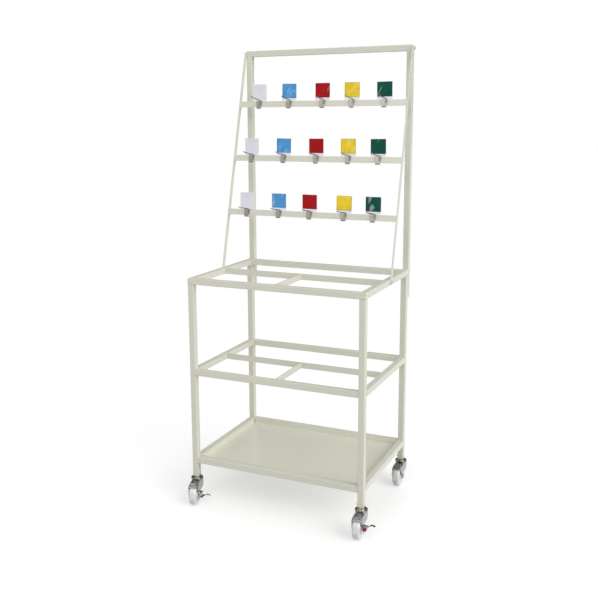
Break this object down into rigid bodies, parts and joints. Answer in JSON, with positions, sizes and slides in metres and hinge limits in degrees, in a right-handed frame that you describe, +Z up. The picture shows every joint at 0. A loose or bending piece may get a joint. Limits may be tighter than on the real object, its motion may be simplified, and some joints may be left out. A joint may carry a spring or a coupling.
{
  "type": "catheter cart",
  "caption": "Square-tube hospital cart on swivel casters with open shelf frames, a shelf pan and raised sloping bars that carry clip-on wire hooks with colour tags.",
  "frame": {"origin": "on the floor, under the middle of the four legs", "axes": "+X to the right as seen from the front, +Y to the back where the upright frame stands, +Z up"},
  "size_m": [0.6519, 0.5117, 1.483],
  "materials": {
    "ivory_paint": "semi-gloss ivory enamel on welded steel tube and sheet",
    "plated_steel": "bright plated pressed steel of the casters and bolts",
    "clip_steel": "stainless sheet and wire, plain",
    "nylon": "whitish grey moulded nylon",
    "tag_white": "whitish plate without film",
    "tag_blue": "whitish plate with a sky blue film",
    "tag_red": "whitish plate with a crimson film",
    "tag_yellow": "whitish plate with a yellow film",
    "tag_green": "whitish plate with a dark green film"
  },
  "bodies": {
    "frame": {"leg_front_left": "ivory_paint", "leg_front_right": "ivory_paint", "leg_rear_left": "ivory_paint", "leg_rear_right": "ivory_paint", "top_frame": "ivory_paint", "middle_frame": "ivory_paint", "bottom_frame": "ivory_paint", "shelf_pan": "ivory_paint", "upright_frame": "ivory_paint", "left_strap": "ivory_paint", "right_strap": "ivory_paint", "hanging_bar_top": "ivory_paint", "hanging_bar_middle": "ivory_paint", "hanging_bar_bottom": "ivory_paint", "frame_bolts": "plated_steel", "caster_stems": "plated_steel"},
    "caster_front_left": {"fork_front_left": "plated_steel", "axle_front_left": "plated_steel"},
    "wheel_front_left": {"wheel_front_left": "nylon"},
    "brake_front_left": {"brake_pedal_front_left": "plated_steel"},
    "caster_front_right": {"fork_front_right": "plated_steel", "axle_front_right": "plated_steel"},
    "wheel_front_right": {"wheel_front_right": "nylon"},
    "brake_front_right": {"brake_pedal_front_right": "plated_steel"},
    "caster_rear_left": {"fork_rear_left": "plated_steel", "axle_rear_left": "plated_steel"},
    "wheel_rear_left": {"wheel_rear_left": "nylon"},
    "caster_rear_right": {"fork_rear_right": "plated_steel", "axle_rear_right": "plated_steel"},
    "wheel_rear_right": {"wheel_rear_right": "nylon"},
    "hanger_top_white": {"hook_top_white": "clip_steel", "tag_top_white": "tag_white"},
    "hanger_top_blue": {"hook_top_blue": "clip_steel", "tag_top_blue": "tag_blue"},
    "hanger_top_red": {"hook_top_red": "clip_steel", "tag_top_red": "tag_red"},
    "hanger_top_yellow": {"hook_top_yellow": "clip_steel", "tag_top_yellow": "tag_yellow"},
    "hanger_top_green": {"hook_top_green": "clip_steel", "tag_top_green": "tag_green"},
    "hanger_middle_white": {"hook_middle_white": "clip_steel", "tag_middle_white": "tag_white"},
    "hanger_middle_blue": {"hook_middle_blue": "clip_steel", "tag_middle_blue": "tag_blue"},
    "hanger_middle_red": {"hook_middle_red": "clip_steel", "tag_middle_red": "tag_red"},
    "hanger_middle_yellow": {"hook_middle_yellow": "clip_steel", "tag_middle_yellow": "tag_yellow"},
    "hanger_middle_green": {"hook_middle_green": "clip_steel", "tag_middle_green": "tag_green"},
    "hanger_bottom_white": {"hook_bottom_white": "clip_steel", "tag_bottom_white": "tag_white"},
    "hanger_bottom_blue": {"hook_bottom_blue": "clip_steel", "tag_bottom_blue": "tag_blue"},
    "hanger_bottom_red": {"hook_bottom_red": "clip_steel", "tag_bottom_red": "tag_red"},
    "hanger_bottom_yellow": {"hook_bottom_yellow": "clip_steel", "tag_bottom_yellow": "tag_yellow"},
    "hanger_bottom_green": {"hook_bottom_green": "clip_steel", "tag_bottom_green": "tag_green"}
  },
  "joints": [
    {"name": "swivel_front_left", "type": "hinge", "parent": "frame", "child": "caster_front_left", "pos_m": [-0.29, -0.2025, 0.075], "axis": [0, 0, 1], "continuous": true},
    {"name": "spin_front_left", "type": "hinge", "parent": "caster_front_left", "child": "wheel_front_left", "pos_m": [-0.28008, -0.23711, 0.035], "axis": [0.9613, 0.2756, 0], "continuous": true},
    {"name": "brake_front_left", "type": "hinge", "parent": "caster_front_left", "child": "brake_front_left", "pos_m": [-0.28008, -0.23711, 0.035], "axis": [0.9613, 0.2756, 0], "range_deg": [0, 40]},
    {"name": "swivel_front_right", "type": "hinge", "parent": "frame", "child": "caster_front_right", "pos_m": [0.29, -0.2025, 0.075], "axis": [0, 0, 1], "continuous": true},
    {"name": "spin_front_right", "type": "hinge", "parent": "caster_front_right", "child": "wheel_front_right", "pos_m": [0.29314, -0.23836, 0.035], "axis": [0.9962, 0.0872, 0], "continuous": true},
    {"name": "brake_front_right", "type": "hinge", "parent": "caster_front_right", "child": "brake_front_right", "pos_m": [0.29314, -0.23836, 0.035], "axis": [0.9962, 0.0872, 0], "range_deg": [-40, 0]},
    {"name": "swivel_rear_left", "type": "hinge", "parent": "frame", "child": "caster_rear_left", "pos_m": [-0.29, 0.2025, 0.075], "axis": [0, 0, 1], "continuous": true},
    {"name": "spin_rear_left", "type": "hinge", "parent": "caster_rear_left", "child": "wheel_rear_left", "pos_m": [-0.28437, 0.16694, 0.035], "axis": [0.9877, 0.1564, 0], "continuous": true},
    {"name": "swivel_rear_right", "type": "hinge", "parent": "frame", "child": "caster_rear_right", "pos_m": [0.29, 0.2025, 0.075], "axis": [0, 0, 1], "continuous": true},
    {"name": "spin_rear_right", "type": "hinge", "parent": "caster_rear_right", "child": "wheel_rear_right", "pos_m": [0.29126, 0.16652, 0.035], "axis": [0.9994, 0.0349, 0], "continuous": true},
    {"name": "slide_top_white", "type": "slide", "parent": "frame", "child": "hanger_top_white", "axis": [1, 0, 0], "range_m": [-0.022, 0.022]},
    {"name": "slide_top_blue", "type": "slide", "parent": "frame", "child": "hanger_top_blue", "axis": [1, 0, 0], "range_m": [-0.022, 0.022]},
    {"name": "slide_top_red", "type": "slide", "parent": "frame", "child": "hanger_top_red", "axis": [1, 0, 0], "range_m": [-0.022, 0.022]},
    {"name": "slide_top_yellow", "type": "slide", "parent": "frame", "child": "hanger_top_yellow", "axis": [1, 0, 0], "range_m": [-0.022, 0.022]},
    {"name": "slide_top_green", "type": "slide", "parent": "frame", "child": "hanger_top_green", "axis": [1, 0, 0], "range_m": [-0.022, 0.022]},
    {"name": "slide_middle_white", "type": "slide", "parent": "frame", "child": "hanger_middle_white", "axis": [1, 0, 0], "range_m": [-0.022, 0.022]},
    {"name": "slide_middle_blue", "type": "slide", "parent": "frame", "child": "hanger_middle_blue", "axis": [1, 0, 0], "range_m": [-0.022, 0.022]},
    {"name": "slide_middle_red", "type": "slide", "parent": "frame", "child": "hanger_middle_red", "axis": [1, 0, 0], "range_m": [-0.022, 0.022]},
    {"name": "slide_middle_yellow", "type": "slide", "parent": "frame", "child": "hanger_middle_yellow", "axis": [1, 0, 0], "range_m": [-0.022, 0.022]},
    {"name": "slide_middle_green", "type": "slide", "parent": "frame", "child": "hanger_middle_green", "axis": [1, 0, 0], "range_m": [-0.022, 0.022]},
    {"name": "slide_bottom_white", "type": "slide", "parent": "frame", "child": "hanger_bottom_white", "axis": [1, 0, 0], "range_m": [-0.022, 0.022]},
    {"name": "slide_bottom_blue", "type": "slide", "parent": "frame", "child": "hanger_bottom_blue", "axis": [1, 0, 0], "range_m": [-0.022, 0.022]},
    {"name": "slide_bottom_red", "type": "slide", "parent": "frame", "child": "hanger_bottom_red", "axis": [1, 0, 0], "range_m": [-0.022, 0.022]},
    {"name": "slide_bottom_yellow", "type": "slide", "parent": "frame", "child": "hanger_bottom_yellow", "axis": [1, 0, 0], "range_m": [-0.022, 0.022]},
    {"name": "slide_bottom_green", "type": "slide", "parent": "frame", "child": "hanger_bottom_green", "axis": [1, 0, 0], "range_m": [-0.022, 0.022]}
  ]
}
